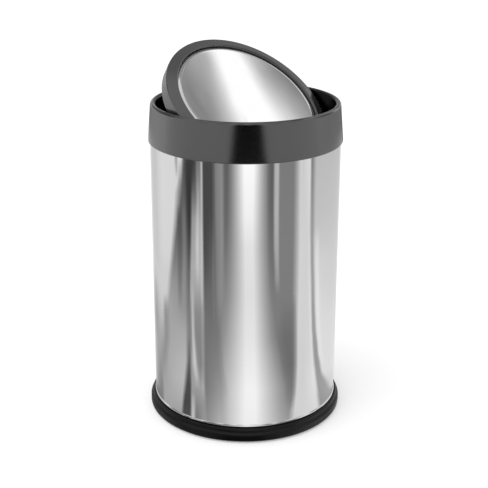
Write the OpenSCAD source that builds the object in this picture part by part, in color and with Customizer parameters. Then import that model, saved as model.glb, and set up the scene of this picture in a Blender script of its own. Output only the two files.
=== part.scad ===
// Countertop waste bin: a steel drum on a moulded foot ring, with a lift-off moulded
// collar in which a round, weighted lid swings on two pins.
// Millimetres, +Z up, origin at the centre of the footprint, pins along X.
// The lid is drawn open by lid_open: its +Y edge is up and its -Y edge is in the drum.

/* [Drum] */
// Outer diameter of the steel drum
drum_d = 120; // [100:1:180]
// Height of the bin, from the table to the top of the collar
bin_h = 206; // [150:1:300]
// Thickness of the drum's sheet
drum_wall = 0.6; // [0.5:0.05:0.8]
// Height of the hem that is folded in at the top edge
hem_h = 4; // [3:0.5:8]
// Gap inside the folded hem
hem_slit = 0.4; // [0.2:0.1:0.6]
// Height of the bead rolled round the foot of the drum
bead_h = 2; // [1.6:0.1:3]
// How far that bead stands out
bead_out = 0.5; // [0.3:0.1:0.8]

/* [Floor pan] */
// Height of the bin's floor above the table
floor_z = 10.8; // [10.2:0.2:20]
// Thickness of the floor's sheet
floor_t = 0.6; // [0.5:0.05:1]
// Outer radius of the bend between floor and flange
floor_bend_r = 1.4; // [1.2:0.1:3]
// Depth of the pressed step in the floor
floor_step = 1.2; // [0.5:0.1:1.5]
// Width of the raised border outside that step
floor_border = 11; // [6:1:20]

/* [Foot ring] */
// Height of the ledge round the drum
ledge_z = 9.4; // [8.6:0.1:10]
// How far the ledge stands out from the drum
ledge_w = 2; // [1.6:0.1:4]
// How far the foot flares beyond the ledge
foot_flare = 1.4; // [0.6:0.1:3]
// Wall thickness of the moulding
foot_wall = 2; // [1.4:0.1:2.4]
// Width of the ring's underside
foot_w = 13; // [11:0.5:20]
// Number of stiffening webs in the ring
foot_webs = 12; // [4:1:24]
// Diameter of a non-slip pad
pad_d = 8; // [5:0.5:9]
// Thickness of a non-slip pad
pad_t = 1.6; // [1.2:0.1:1.8]
// How far a pad stands out below the ring
pad_proud = 0.5; // [0.3:0.1:0.8]

/* [Collar] */
// Height of the collar's outer band
collar_h = 24.2; // [20:0.2:40]
// How far the band stands out from the drum at its lower edge
collar_out = 1.2; // [1:0.1:2]
// Height of the lip that hangs over the drum's top edge
collar_lip = 2; // [1:0.2:4]
// How far the mouth is set in from the drum's face
mouth_in = 4; // [4:0.1:4.8]
// Radius of the rounded top edge
edge_r = 1.7; // [1.4:0.1:2]
// Thickness of the band's skin
skin_t = 1.6; // [1.2:0.1:1.8]
// Height of the hollow inside the band
hollow_h = 6; // [3:0.5:8]
// Thickness of the plug that fits in the drum
plug_t = 1.7; // [1.2:0.1:1.7]
// Depth of the plug below the drum's top edge
plug_h = 12; // [8:1:30]
// Number of webs that rest on the drum's hem
collar_webs = 24; // [8:4:48]
// Number of ribs that centre the plug
plug_ribs = 8; // [3:1:12]

/* [Pivot] */
// Depth of the pivot axis below the top of the collar
pivot_drop = 4.5; // [4.3:0.1:8]
// Diameter of a pivot pin
pin_d = 3; // [2:0.1:3.2]
// Radial clearance of a pin in its bush
pin_gap = 0.05; // [0.02:0.01:0.09]
// Wall thickness of a bush
bush_t = 1; // [0.8:0.1:1.2]
// Length of a bush
bush_l = 2.6; // [1.8:0.1:2.8]
// How far the boss round a bush stands in from the mouth
boss_in = 0.7; // [0.5:0.05:0.8]

/* [Lid] */
// How far the lid stands open, in degrees
lid_open = 37.4; // [0:0.1:85]
// Gap between lid and mouth
lid_gap = 1.4; // [1.4:0.1:2.5]
// Height of the lid's rim at its outer edge
lid_h = 9.6; // [9:0.2:12]
// Width of the rim's face
rim_w = 6.9; // [6:0.1:10]
// How far that face climbs from its outer edge to its crest
rim_rise = 1.9; // [0.5:0.1:3]
// Height of the rim's band, above the skirt
rim_band_h = 3.4; // [2.6:0.1:4]
// How far the skirt is set in below that band
skirt_in = 0.4; // [0.2:0.1:0.6]
// Wall thickness of the rim
rim_t = 1.6; // [1.2:0.1:1.8]
// Radius of the rim's outer edge
rim_r = 1.4; // [0.8:0.1:2]
// Radius of the rim's crest
crest_r = 0.6; // [0.4:0.1:0.8]
// Width of the shelf that carries the plate
shelf_w = 3.3; // [2.5:0.1:6]
// Depth of the plate below the rim's crest
plate_drop = 1.4; // [1:0.1:2]
// Thickness of the plate's sheet
plate_t = 0.6; // [0.4:0.05:0.8]
// Width of the bevel round the plate
bevel_w = 3; // [2:0.1:5]
// How far that bevel falls to the plate's edge
bevel_drop = 0.8; // [0.4:0.1:1.2]
// Radius of the plate's turned-down edge
plate_r = 1; // [1:0.1:1.4]

/* [Lid cover] */
// Thickness of the cover under the lid
cover_t = 1.4; // [1.2:0.1:1.6]
// Depth of the cover inside the skirt's lower edge
cover_in = 1.2; // [1.1:0.1:1.4]
// Height of the cover's own edge
cover_edge = 2.4; // [2:0.1:2.6]
// Diameter of the steel weight
weight_d = 36; // [20:1:60]
// Thickness of the steel weight
weight_h = 5; // [3:0.5:10]
// Shank diameter of the cover's screws
screw_d = 1.8; // [1.4:0.1:2]
// Shank diameter of the weight's screw
weight_screw_d = 3; // [2:0.5:4]

/* [Hidden] */
$fn = 96;

STEEL = [0.78, 0.79, 0.80];
BLACK = [0.16, 0.16, 0.17];
RUBBER = [0.08, 0.08, 0.09];
BRIGHT = [0.70, 0.71, 0.72];

// Steps in a small bend
bend_steps = 6;
// Gap between pieces that are welded, glued, screwed or pressed together
snug = 0.05;
// Gap between pieces that slip together by hand
slip = 0.3;
// Gap between the collar and the hem that carries it
seat = 0.2;
// Radius that breaks a moulded corner
break_r = 0.5;
// Chamfer on pins and weights
chamfer = 0.3;
// Thickness of webs and ribs
web_t = 1.2;
// Wall of the bosses under the lid
boss_wall = 1.2;
// How far a cutter runs past the piece it cuts
over = 1;

// Drum
drum_r = drum_d / 2;
collar_z = bin_h - collar_h;
drum_top = collar_z + collar_lip - seat;
drum_foot = pad_proud + foot_wall + break_r;
drum_in_r = drum_r - drum_wall;
hem_r = drum_wall + hem_slit / 2;
hem_in_r = drum_r - 2 * hem_r;
bead_z = ledge_z + snug + bead_h / 2;
bead_r = (bead_h * bead_h / 4 + bead_out * bead_out) / (2 * bead_out);
bead_half = asin(bead_h / 2 / bead_r);

// Floor pan
pan_r = drum_in_r - snug;
pan_in_r = pan_r - floor_t;
pan_foot = drum_foot + break_r;
step_r = pan_r - floor_border;

// Foot ring
ledge_r = drum_r + ledge_w;
foot_r = ledge_r + foot_flare;
groove_r = drum_r + slip;
upstand_r = pan_in_r - slip;
upstand_top = floor_z - floor_t - slip;
web_top = upstand_top - 2 * break_r;
foot_in_r = foot_r - foot_w;
foot_top = pad_proud + foot_wall;
flare_z = pad_proud + foot_wall;
flare_top = ledge_z - 2 * foot_wall;
pad_at = foot_in_r + break_r + pad_d / 2 + 2 * snug;
pad_count = 4;
pad_turn = 45;
shoulder_turn = 60;

// Collar
mouth_r = drum_r - mouth_in;
collar_low_r = drum_r + collar_out;
collar_top_r = mouth_r + 2 * edge_r;
edge_z = bin_h - edge_r;
plug_r = hem_in_r - slip;
plug_in_r = plug_r - plug_t;
plug_z = drum_top - plug_h;
hollow_top = drum_top + seat + hollow_h;

// Pivot
pivot_z = bin_h - pivot_drop;
bush_r = pin_d / 2 + pin_gap + bush_t;
boss_x = mouth_r - boss_in;
bush_x = boss_x + snug;
pocket_end = bush_x + bush_l + snug;
pin_end = pocket_end - slip - snug;

// Lid, in its own frame: the pivot is at the origin and h runs along its normal
lid_r = mouth_r - lid_gap;
rim_top = lid_h / 2;
rim_low = -lid_h / 2;
band_low = rim_top - rim_band_h;
skirt_r = lid_r - skirt_in;
rim_in_r = lid_r - rim_w;
rim_slope = atan(rim_rise / rim_w);
crest = rim_top + rim_rise;
plate_out_r = rim_in_r - slip;
plate_top = crest - plate_drop;
plate_edge = plate_top - bevel_drop;
bevel_slope = atan(bevel_drop / bevel_w);
shelf_top = plate_edge - 2 * plate_r;
shelf_low = shelf_top - rim_t;
shelf_r = rim_in_r - shelf_w;
wall_r = rim_in_r + rim_t;
skirt_in_r = skirt_r - rim_t;
pin_boss_r = pin_d / 2 + boss_wall;
pin_boss_x = wall_r - rim_t / 2;
pin_x = pin_boss_x + 2 * break_r;

// Lid cover
cover_r = skirt_in_r - slip;
cover_low = rim_low + cover_in;
cover_top = cover_low + cover_t;
cup_in_r = weight_d / 2 + slip;
cup_r = cup_in_r + cover_t;
weight_low = cover_top - weight_h - snug;
cup_floor = weight_low - snug;
cup_low = cup_floor - cover_t;
cover_bend_r = cover_t + break_r;
cup_bend_r = cover_t + 2 * break_r;
screw_count = 4;
screw_turn = 45;
screw_ring = (shelf_r + wall_r) / 2;
screw_boss_r = screw_d / 2 + boss_wall;
head_r = screw_d + chamfer;
head_h = cover_in - 2 * snug;
weight_head_h = weight_screw_d / 2;

// Points of an arc about c, from one angle to another
function arc(c, r, from, to, n = bend_steps) =
    [for (i = [0:n]) c + r * [cos(from + (to - from) * i / n), sin(from + (to - from) * i / n)]];

// Unit vector square to the step from p to q, on its left
function left_of(p, q) = [p[1] - q[1], q[0] - p[0]] / norm(q - p);

// Shift at point i that moves a path one unit to its left
function mitre(path, i) =
    let (a = left_of(path[max(i - 1, 0)], path[max(i, 1)]))
    let (b = left_of(path[min(i, len(path) - 2)], path[min(i + 1, len(path) - 1)]))
    (a + b) / (1 + a * b);

// Outline of a sheet with one face on the path and the other at t to its left
function sheet(path, t) =
    concat(path, [for (i = [len(path) - 1:-1:0]) path[i] + t * mitre(path, i)]);

// How far a rounding's centre lies below the sharp corner of a wall and a face.
// The face falls toward the wall by the slope, and climbs to it by a negative slope.
function below(slope, r) = r * (1 - sin(slope)) / cos(slope);

// Radius of the collar's band at height z
function band_r(z) =
    collar_top_r + (collar_low_r - collar_top_r) * (edge_z - z) / (edge_z - collar_z);

// A cylinder along X, from x0 to x1
module rod(r, x0, x1) {
    translate([x0, 0, 0])
        rotate([0, 90, 0])
            cylinder(r = r, h = x1 - x0);
}

// A rod with chamfered ends
module pin_rod(r, x0, x1) {
    rotate([0, 90, 0])
        rotate_extrude()
            polygon([
                [0, x0], [r - chamfer, x0], [r, x0 + chamfer],
                [r, x1 - chamfer], [r - chamfer, x1], [0, x1]
            ]);
}

// A pan-head screw that points up from its seat at h = 0
module screw(shank_r, shank_h, cap_r, cap_h) {
    rotate_extrude()
        polygon(concat(
            [[0, -cap_h], [cap_r - break_r, -cap_h]],
            arc([cap_r - break_r, break_r - cap_h], break_r, -90, 0),
            [[cap_r, 0], [shank_r, 0], [shank_r, shank_h - shank_r], [0, shank_h]]
        ));
}

// Places a child in the lid's frame, turned open about the pins
module on_lid() {
    translate([0, 0, pivot_z])
        rotate([lid_open, 0, 0])
            children();
}

module body_shell() {
    color(STEEL)
        rotate_extrude()
            polygon(sheet(concat(
                [[drum_r, drum_foot]],
                arc([drum_r + bead_out - bead_r, bead_z], bead_r, -bead_half, bead_half),
                arc([drum_r - hem_r, drum_top - hem_r], hem_r, 0, 180, 2 * bend_steps),
                [[hem_in_r, drum_top - hem_h]]
            ), drum_wall));
}

module floor_pan() {
    color(BRIGHT)
        rotate_extrude()
            polygon(sheet(concat(
                [[pan_r, pan_foot]],
                arc([pan_r - floor_bend_r, floor_z - floor_bend_r], floor_bend_r, 0, 90),
                [
                    [step_r, floor_z], [step_r - floor_step, floor_z - floor_step],
                    [0, floor_z - floor_step]
                ]
            ), floor_t));
}

module base_ring() {
    color(BLACK)
        difference() {
            union() {
                rotate_extrude()
                    polygon(concat(
                        [[foot_in_r, pad_proud]],
                        arc([foot_r - foot_wall, pad_proud + foot_wall], foot_wall, -90, 0),
                        [[foot_r, flare_z + break_r]],
                        arc([ledge_r + foot_flare / 2, flare_top], foot_flare / 2, 0, shoulder_turn),
                        [[ledge_r, flare_top + foot_flare]],
                        arc([ledge_r - 2 * break_r, ledge_z - 2 * break_r], 2 * break_r, 0, 90),
                        [
                            [groove_r, ledge_z], [groove_r, foot_top], [upstand_r, foot_top],
                            [upstand_r, upstand_top - break_r], [upstand_r - break_r, upstand_top],
                            [upstand_r - foot_wall, upstand_top], [upstand_r - foot_wall, foot_top],
                            [foot_in_r, foot_top]
                        ]
                    ));
                for (i = [0:foot_webs - 1])
                    rotate([0, 0, (i + 0.5) * 360 / foot_webs])
                        foot_web();
            }
            for (i = [0:pad_count - 1])
                pad_place(i)
                    translate([0, 0, -pad_proud])
                        cylinder(d = pad_d + 2 * snug, h = pad_t + snug + pad_proud);
        }
}

// One tapered web between the upstand and the underside
module foot_web() {
    rotate([90, 0, 0])
        translate([0, 0, -web_t / 2])
            linear_extrude(web_t)
                polygon([
                    [foot_in_r + 2 * break_r, foot_top - break_r],
                    [upstand_r - foot_wall / 2, foot_top - break_r],
                    [upstand_r - foot_wall / 2, web_top],
                    [upstand_r - foot_wall - break_r, web_top],
                    [foot_in_r + 2 * break_r, foot_top + break_r]
                ]);
}

// Places a child at the foot of pad i
module pad_place(i) {
    rotate([0, 0, pad_turn + 360 * i / pad_count])
        translate([pad_at, 0, 0])
            children();
}

module foot_pad(i) {
    color(RUBBER)
        pad_place(i)
            rotate_extrude()
                polygon([
                    [0, 0], [pad_d / 2 - chamfer, 0], [pad_d / 2, chamfer],
                    [pad_d / 2, pad_t], [0, pad_t]
                ]);
}

module collar() {
    color(BLACK)
        difference() {
            union() {
                rotate_extrude()
                    polygon(concat(
                        [[drum_r + slip, collar_z]],
                        arc([band_r(collar_z) - break_r, collar_z + break_r], break_r, -90, 0),
                        arc([mouth_r + edge_r, edge_z], edge_r, 0, 180, 2 * bend_steps),
                        [
                            [plug_in_r, plug_z], [plug_r - break_r, plug_z],
                            [plug_r, plug_z + 2 * break_r],
                            [plug_r, hollow_top], [band_r(hollow_top) - skin_t, hollow_top],
                            [band_r(drum_top + seat) - skin_t, drum_top + seat],
                            [drum_r + slip, drum_top + seat]
                        ]
                    ));
                for (i = [0:collar_webs - 1])
                    rotate([0, 0, (i + 0.5) * 360 / collar_webs])
                        collar_web();
                for (i = [0:plug_ribs - 1])
                    rotate([0, 0, (i + 0.5) * 360 / plug_ribs])
                        plug_rib();
                for (side = [-1, 1])
                    translate([0, 0, pivot_z])
                        pivot_boss(side);
            }
            for (side = [-1, 1])
                translate([0, 0, pivot_z])
                    rotate([0, 0, side > 0 ? 0 : 180])
                        rod(bush_r + snug, boss_x - boss_in, pocket_end);
        }
}

// One web across the collar's hollow, resting on the hem
module collar_web() {
    translate([plug_r - snug, -web_t / 2, drum_top + seat])
        cube([band_r(drum_top) - skin_t / 2 - plug_r, web_t, hollow_h + snug]);
}

// One upright rib outside the plug, a running fit in the hem
module plug_rib() {
    translate([plug_r - plug_t / 2, -web_t / 2, plug_z + hem_h / 2])
        cube([plug_t / 2 + 2 * slip / 3, web_t, plug_h]);
}

// The round boss that holds a bush
module pivot_boss(side) {
    rotate([0, 0, side > 0 ? 0 : 180])
        rod(bush_r + bush_t, boss_x, mouth_r + edge_r);
}

module pivot_bush(side) {
    color(BRIGHT)
        translate([0, 0, pivot_z])
            rotate([0, 0, side > 0 ? 0 : 180])
                difference() {
                    rod(bush_r, bush_x, bush_x + bush_l);
                    rod(pin_d / 2 + pin_gap, bush_x - over, bush_x + bush_l + over);
                }
}

module pivot_pin(side) {
    color(BRIGHT)
        on_lid()
            rotate([0, 0, side > 0 ? 0 : 180])
                pin_rod(pin_d / 2, pin_x, pin_end);
}

module lid_rim() {
    color(BLACK)
        on_lid()
            difference() {
                union() {
                    rotate_extrude()
                        polygon(concat(
                            [
                                [skirt_in_r, rim_low], [skirt_r - break_r, rim_low],
                                [skirt_r, rim_low + break_r], [skirt_r, band_low],
                                [lid_r, band_low + skirt_in]
                            ],
                            arc([lid_r - rim_r, rim_top - below(rim_slope, rim_r)], rim_r,
                                0, 90 - rim_slope),
                            arc([rim_in_r + crest_r, crest - below(-rim_slope, crest_r)], crest_r,
                                90 - rim_slope, 180),
                            [
                                [rim_in_r, shelf_top], [shelf_r, shelf_top],
                                [shelf_r, shelf_low], [wall_r, shelf_low],
                                [wall_r, face_back(wall_r)], [skirt_in_r, face_back(skirt_in_r)]
                            ]
                        ));
                    for (side = [-1, 1])
                        rotate([0, 0, side > 0 ? 0 : 180])
                            rod(pin_boss_r, pin_boss_x, skirt_r - rim_t / 2);
                    for (i = [0:screw_count - 1])
                        screw_place(i)
                            translate([0, 0, cover_top + snug])
                                cylinder(r = screw_boss_r, h = shelf_low - cover_top);
                }
                for (side = [-1, 1])
                    rotate([0, 0, side > 0 ? 0 : 180])
                        rod(pin_d / 2 + snug / 2, pin_x - snug, lid_r);
                for (i = [0:screw_count - 1])
                    screw_place(i)
                        translate([0, 0, cover_low])
                            cylinder(r = screw_d / 2 + snug / 2, h = screw_depth() + snug);
            }
}

// Height of the back of the rim's face at radius r
function face_back(r) = rim_top + (lid_r - r) * tan(rim_slope) - rim_t / cos(rim_slope);

// Length of a cover screw's shank, from its seat up into the shelf
function screw_depth() = shelf_top - break_r - cover_low;

// Places a child on the axis of cover screw i
module screw_place(i) {
    rotate([0, 0, screw_turn + 360 * i / screw_count])
        translate([screw_ring, 0, 0])
            children();
}

module lid_plate() {
    color(STEEL)
        on_lid()
            rotate_extrude()
                polygon(sheet(concat(
                    [[plate_out_r, shelf_top + snug]],
                    arc([plate_out_r - plate_r, plate_edge - below(bevel_slope, plate_r)], plate_r,
                        0, 90 - bevel_slope),
                    [[plate_out_r - bevel_w, plate_top], [0, plate_top]]
                ), plate_t));
}

module lid_under_cover() {
    color(BLACK)
        on_lid()
            difference() {
                rotate_extrude()
                    polygon(sheet(concat(
                        [[cover_r, cover_low + cover_edge]],
                        arc([cover_r - cover_bend_r, cover_low + cover_bend_r], cover_bend_r, 0, -90),
                        arc([cup_r + break_r, cover_low - break_r], break_r, 90, 180),
                        arc([cup_r - cup_bend_r, cup_low + cup_bend_r], cup_bend_r, 0, -90),
                        [[0, cup_low]]
                    ), -cover_t));
                for (side = [-1, 1])
                    rotate([0, 0, side > 0 ? 0 : 180])
                        rod(pin_boss_r + slip, pin_boss_x - slip, lid_r);
                for (i = [0:screw_count - 1])
                    screw_place(i)
                        translate([0, 0, cover_low - over])
                            cylinder(r = screw_d / 2 + slip / 2, h = cover_t + 2 * over);
                translate([0, 0, cup_low - over])
                    cylinder(r = weight_screw_d / 2 + slip / 2, h = cover_t + 2 * over);
            }
}

module lid_screws() {
    color(BRIGHT)
        on_lid()
            for (i = [0:screw_count - 1])
                screw_place(i)
                    translate([0, 0, cover_low - snug])
                        screw(screw_d / 2, screw_depth(), head_r, head_h);
}

module counterweight() {
    color(BRIGHT)
        on_lid()
            difference() {
                rotate_extrude()
                    polygon([
                        [0, weight_low], [weight_d / 2 - 2 * break_r, weight_low],
                        [weight_d / 2, weight_low + 2 * break_r],
                        [weight_d / 2, weight_low + weight_h - chamfer],
                        [weight_d / 2 - chamfer, weight_low + weight_h], [0, weight_low + weight_h]
                    ]);
                translate([0, 0, weight_low - over])
                    cylinder(r = weight_screw_d / 2 + snug / 2, h = weight_h + 2 * over);
            }
}

module counterweight_screw() {
    color(BRIGHT)
        on_lid()
            translate([0, 0, cup_low - snug])
                screw(weight_screw_d / 2, weight_h + cover_t, weight_screw_d, weight_head_h);
}

body_shell();
floor_pan();
base_ring();
foot_pad(0);  // foot_pad_1
foot_pad(1);  // foot_pad_2
foot_pad(2);  // foot_pad_3
foot_pad(3);  // foot_pad_4
collar();
pivot_bush(-1);  // pivot_bush_left
pivot_bush(1);  // pivot_bush_right
lid_rim();
lid_plate();
lid_under_cover();
lid_screws();
counterweight();
counterweight_screw();
pivot_pin(-1);  // pivot_pin_left
pivot_pin(1);  // pivot_pin_right
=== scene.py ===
import math

import bmesh
import bpy
from mathutils import Matrix, Vector


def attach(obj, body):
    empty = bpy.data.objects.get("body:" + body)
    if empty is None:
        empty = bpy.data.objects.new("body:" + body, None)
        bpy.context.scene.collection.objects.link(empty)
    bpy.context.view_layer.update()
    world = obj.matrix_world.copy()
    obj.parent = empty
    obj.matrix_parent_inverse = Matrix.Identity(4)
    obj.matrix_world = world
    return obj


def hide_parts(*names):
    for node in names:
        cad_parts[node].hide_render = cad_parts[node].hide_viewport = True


# ---------------------------------------------------------------- sizes, in metres and radians
DRUM_R = 0.060
DRUM_SKIN_R = 0.0597
PIVOT_Z = 0.2015
LID_TILT = math.radians(37.4)
COLLAR_LOW_R = 0.0612
COLLAR_LOW_Z = 0.1818
COLLAR_LEAN = math.radians(4.6)
MOUTH_SKIN_R = 0.0569

# The lid's disc: heights are in the lid's own frame, and its flat face ends where its rolled bevel starts
PLATE_R = 0.0474
PLATE_FLAT_R = 0.0444
PLATE_RISE = 0.0053
PLATE_FOOT = 0.00255
PLATE_T = 0.0006
PLATE_EDGE_R = 0.0005
PLATE_EDGE_TILT = math.radians(30)
PLATE_BEVEL_STEPS = 8
PLATE_EDGE_STEPS = 4
PLATE_SIDES = 192
PLATE_CREASE = math.radians(40)

# Pan-head screws: shank radius and length, head radius and height, recess arm, half its width, its depth
COVER_SCREW = (0.0009, 0.0056, 0.0021, 0.0011, 0.00125, 0.00026, 0.0007)
WEIGHT_SCREW = (0.0015, 0.0064, 0.0030, 0.0015, 0.0018, 0.00038, 0.0011)
COVER_SCREW_RING = 0.04685
COVER_SCREW_SEAT = -0.00365
COVER_SCREW_TURNS = (0.35, 1.02, 0.10, 0.74)
WEIGHT_SCREW_SEAT = -0.00875
WEIGHT_SCREW_TURN = 0.5
HEAD_EDGE_R = 0.0005
HEAD_EDGE_STEPS = 5
RECESS_TAPER = 0.8
SCREW_SIDES = 32
SCREW_CREASE = math.radians(35)

# ---------------------------------------------------------------- camera, floor and light
CAMERA_TURN = math.radians(42.4)
CAMERA_AWAY = 0.679328
CAMERA_UP = 0.357183
CAMERA_PITCH = 0.3477023
CAMERA_YAW = -0.0011
CAMERA_ROLL = 0.00286694
LENS = 81.96
SENSOR = 36.0

STUDIO_GREY = 0.89
FLOOR_GREY = 0.80
FLOOR_LIFT = 0.33
FLOOR_R = 40.0
FLOOR_SIDES = 96
FLOOR_GAP = 0.0001
LAMP_POWER = 0.9
LAMP_WIDTH = math.radians(50)
LAMP_TURN = -50
LAMP_OUT = 0.7
LAMP_UP = 1.4

# ---------------------------------------------------------------- studio cards
# Distances from the can's axis, apart from the ceiling's height. A drum card's own distance only puts it
# in front of the cards that it overlaps.
WALL = 0.94
CEILING_Z = 1.3
DOME = 2.0
# Above its first row a drum card comes in over this height, and below its last it shows again at these
ABOVE_DRUM = 0.016
BELOW_DRUM = (-0.02, -0.08, -0.20, -0.40, -0.80)
# A soft edge is this many columns wide. Its cover grows late on a light card and early on a dark one.
EDGE_STEPS = 4
PALE_TONE = 0.6
PALE_EDGE_POWER = 1.4
DARK_EDGE_POWER = 0.8

# ---------------------------------------------------------------- colours, as linear values
STEEL = 0.79
# The drum's back: darker than bare steel, as painted shade of the can's inside
STEEL_BACK_SHADED = 0.22
GLOSS_BLACK = (0.0015, 0.0015, 0.0018)
RIM_BLACK = (0.021, 0.021, 0.0215)
FOOT_BLACK = (0.003, 0.003, 0.0033)
COVER_BLACK = (0.007, 0.007, 0.0073)
BEARING_WHITE = (0.55, 0.54, 0.50)


def linear(grey):
    """The linear value of a display grey from 0 to 1."""
    if grey <= 0.04045:
        return grey / 12.92
    return ((grey + 0.055) / 1.055) ** 2.4


# ---------------------------------------------------------------- camera
def toward(angle):
    """The level direction at an angle round the can, in degrees: 0 faces the camera, 90 is to its right."""
    a = math.radians(angle)
    near = Vector((-math.sin(CAMERA_TURN), -math.cos(CAMERA_TURN), 0))
    right = Vector((math.cos(CAMERA_TURN), -math.sin(CAMERA_TURN), 0))
    return near * math.cos(a) + right * math.sin(a)


CAMERA_AT = toward(0) * CAMERA_AWAY + Vector((0, 0, CAMERA_UP))


def make_camera():
    """The camera that fits the photograph."""
    turn = Matrix.Rotation(-CAMERA_TURN, 3, "Z")
    ahead = Vector((
        math.sin(CAMERA_YAW) * math.cos(CAMERA_PITCH),
        math.cos(CAMERA_YAW) * math.cos(CAMERA_PITCH),
        -math.sin(CAMERA_PITCH),
    ))
    level = Vector((math.cos(CAMERA_YAW), -math.sin(CAMERA_YAW), 0))
    above = level.cross(ahead)
    right = level * math.cos(CAMERA_ROLL) + above * math.sin(CAMERA_ROLL)
    up = above * math.cos(CAMERA_ROLL) - level * math.sin(CAMERA_ROLL)
    axes = Matrix((turn @ right, turn @ up, -(turn @ ahead))).transposed()
    data = bpy.data.cameras.new("camera")
    data.lens = LENS
    data.sensor_width = SENSOR
    data.clip_start = 0.01
    data.clip_end = 100.0
    camera = bpy.data.objects.new("camera", data)
    camera.matrix_world = Matrix.Translation(CAMERA_AT) @ axes.to_4x4()
    bpy.context.scene.collection.objects.link(camera)
    bpy.context.scene.camera = camera


# ---------------------------------------------------------------- node helpers
def node(tree, kind, inputs=None, **settings):
    """A shader node. An input is linked where its value is a socket, and set where it isn't."""
    made = tree.nodes.new("ShaderNode" + kind)
    for name, value in settings.items():
        setattr(made, name, value)
    for name, value in (inputs or {}).items():
        if isinstance(value, bpy.types.NodeSocket):
            tree.links.new(value, made.inputs[name])
        else:
            made.inputs[name].default_value = value
    return made


def maths(tree, operation, *values):
    return node(tree, "Math", dict(enumerate(values)), operation=operation).outputs[0]


def spread(tree, value, low, high, to_low, to_high):
    """Value from low..high taken to to_low..to_high, and held at the ends."""
    inputs = {"Value": value, "From Min": low, "From Max": high, "To Min": to_low, "To Max": to_high}
    return node(tree, "MapRange", inputs).outputs["Result"]


def mixed(tree, share, first, second):
    """A colour between two others."""
    made = node(tree, "Mix", data_type="RGBA")
    for name, value in (("Factor", share), ("A", first), ("B", second)):
        kind = "VALUE" if name == "Factor" else "RGBA"
        socket = next(s for s in made.inputs if s.name == name and s.type == kind)
        if isinstance(value, bpy.types.NodeSocket):
            tree.links.new(value, socket)
        else:
            socket.default_value = value
    return next(s for s in made.outputs if s.type == "RGBA")


def grey_colour(value, warm=0.0):
    return (value * (1 + warm), value, value * (1 - warm), 1)


def place(tree, scale=(1, 1, 1), turn=(0, 0, 0)):
    """Object coordinates, turned by a fixed angle and then stretched."""
    coordinates = node(tree, "TexCoord").outputs["Object"]
    turned = node(tree, "Mapping", {"Vector": coordinates, "Rotation": turn}, vector_type="TEXTURE")
    return node(tree, "Mapping", {"Vector": turned.outputs[0], "Scale": scale}).outputs[0]


def noise(tree, vector, scale=1.0, detail=2.0, rough=0.5):
    inputs = {"Vector": vector, "Scale": scale, "Detail": detail, "Roughness": rough}
    return node(tree, "TexNoise", inputs).outputs["Fac"]


def inside(tree, radius, blend=0.0003):
    """1 nearer the can's axis than a radius, and 0 beyond it."""
    coordinates = node(tree, "TexCoord").outputs["Object"]
    level = node(tree, "VectorMath", {0: coordinates, 1: (1, 1, 0)}, operation="MULTIPLY").outputs["Vector"]
    away = node(tree, "VectorMath", {0: level}, operation="LENGTH").outputs["Value"]
    return spread(tree, away, radius - blend, radius + blend, 1.0, 0.0)


def edges(tree, radius, low=0.02, high=0.25):
    """1 on sharp edges and 0 away from them, from the angle between the true and the rounded normal."""
    rounded = node(tree, "Bevel", {"Radius": radius}, samples=4).outputs["Normal"]
    true = node(tree, "NewGeometry").outputs["Normal"]
    match = node(tree, "VectorMath", {0: rounded, 1: true}, operation="DOT_PRODUCT").outputs["Value"]
    return spread(tree, maths(tree, "SUBTRACT", 1.0, match), low, high, 0.0, 1.0)


def new_material(name):
    made = bpy.data.materials.new(name)
    made.use_nodes = True
    made.node_tree.nodes.clear()
    return made, made.node_tree


def finish_material(tree, settings, bump=None, strength=0.1, depth=0.0002):
    """The Principled shader with these inputs, its bump, and the output."""
    shader = node(tree, "BsdfPrincipled", settings)
    if bump is not None:
        raised = node(tree, "Bump", {"Height": bump, "Strength": strength, "Distance": depth})
        tree.links.new(raised.outputs[0], shader.inputs["Normal"])
    node(tree, "OutputMaterial", {"Surface": shader.outputs[0]})


# ---------------------------------------------------------------- materials
def polished_steel(name, grain, turn=(0, 0, 0), dull_and_shaded_within=None, rough=(0.05, 0.085)):
    """Polished stainless sheet: fine lines in one direction, slight waves, smudges and rubbed edges.

    Its back, where it shows, lies within a radius: rougher there as unpolished sheet, and darker as painted
    shade of the can's inside.
    """
    made, tree = new_material(name)
    lines = noise(tree, place(tree, grain, turn), detail=3.0, rough=0.65)
    waves = noise(tree, place(tree), scale=22.0, detail=1.0)
    smudge = noise(tree, place(tree), scale=60.0, detail=4.0, rough=0.6)
    rubbed = maths(tree, "MULTIPLY", edges(tree, 0.0006), 0.12)
    tone = spread(tree, lines, 0.3, 0.7, 0.0, 1.0)
    base = mixed(tree, tone, grey_colour(STEEL * 0.985), grey_colour(STEEL * 1.015))
    level = maths(tree, "ADD", spread(tree, smudge, 0.45, 0.7, *rough), rubbed)
    if dull_and_shaded_within:
        # Painted shade: within the radius the colour is darkened for the shade inside the can; the added
        # roughness is the unpolished back
        back = inside(tree, dull_and_shaded_within, blend=0.0001)
        base = mixed(tree, back, base, grey_colour(STEEL_BACK_SHADED, 0.02))
        level = maths(tree, "ADD", level, maths(tree, "MULTIPLY", back, 0.32))
    height = maths(tree, "ADD", maths(tree, "MULTIPLY", lines, 0.008), waves)
    settings = {"Base Color": base, "Metallic": 1.0, "Roughness": level}
    finish_material(tree, settings, height, strength=0.10, depth=0.0004)
    return made


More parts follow.
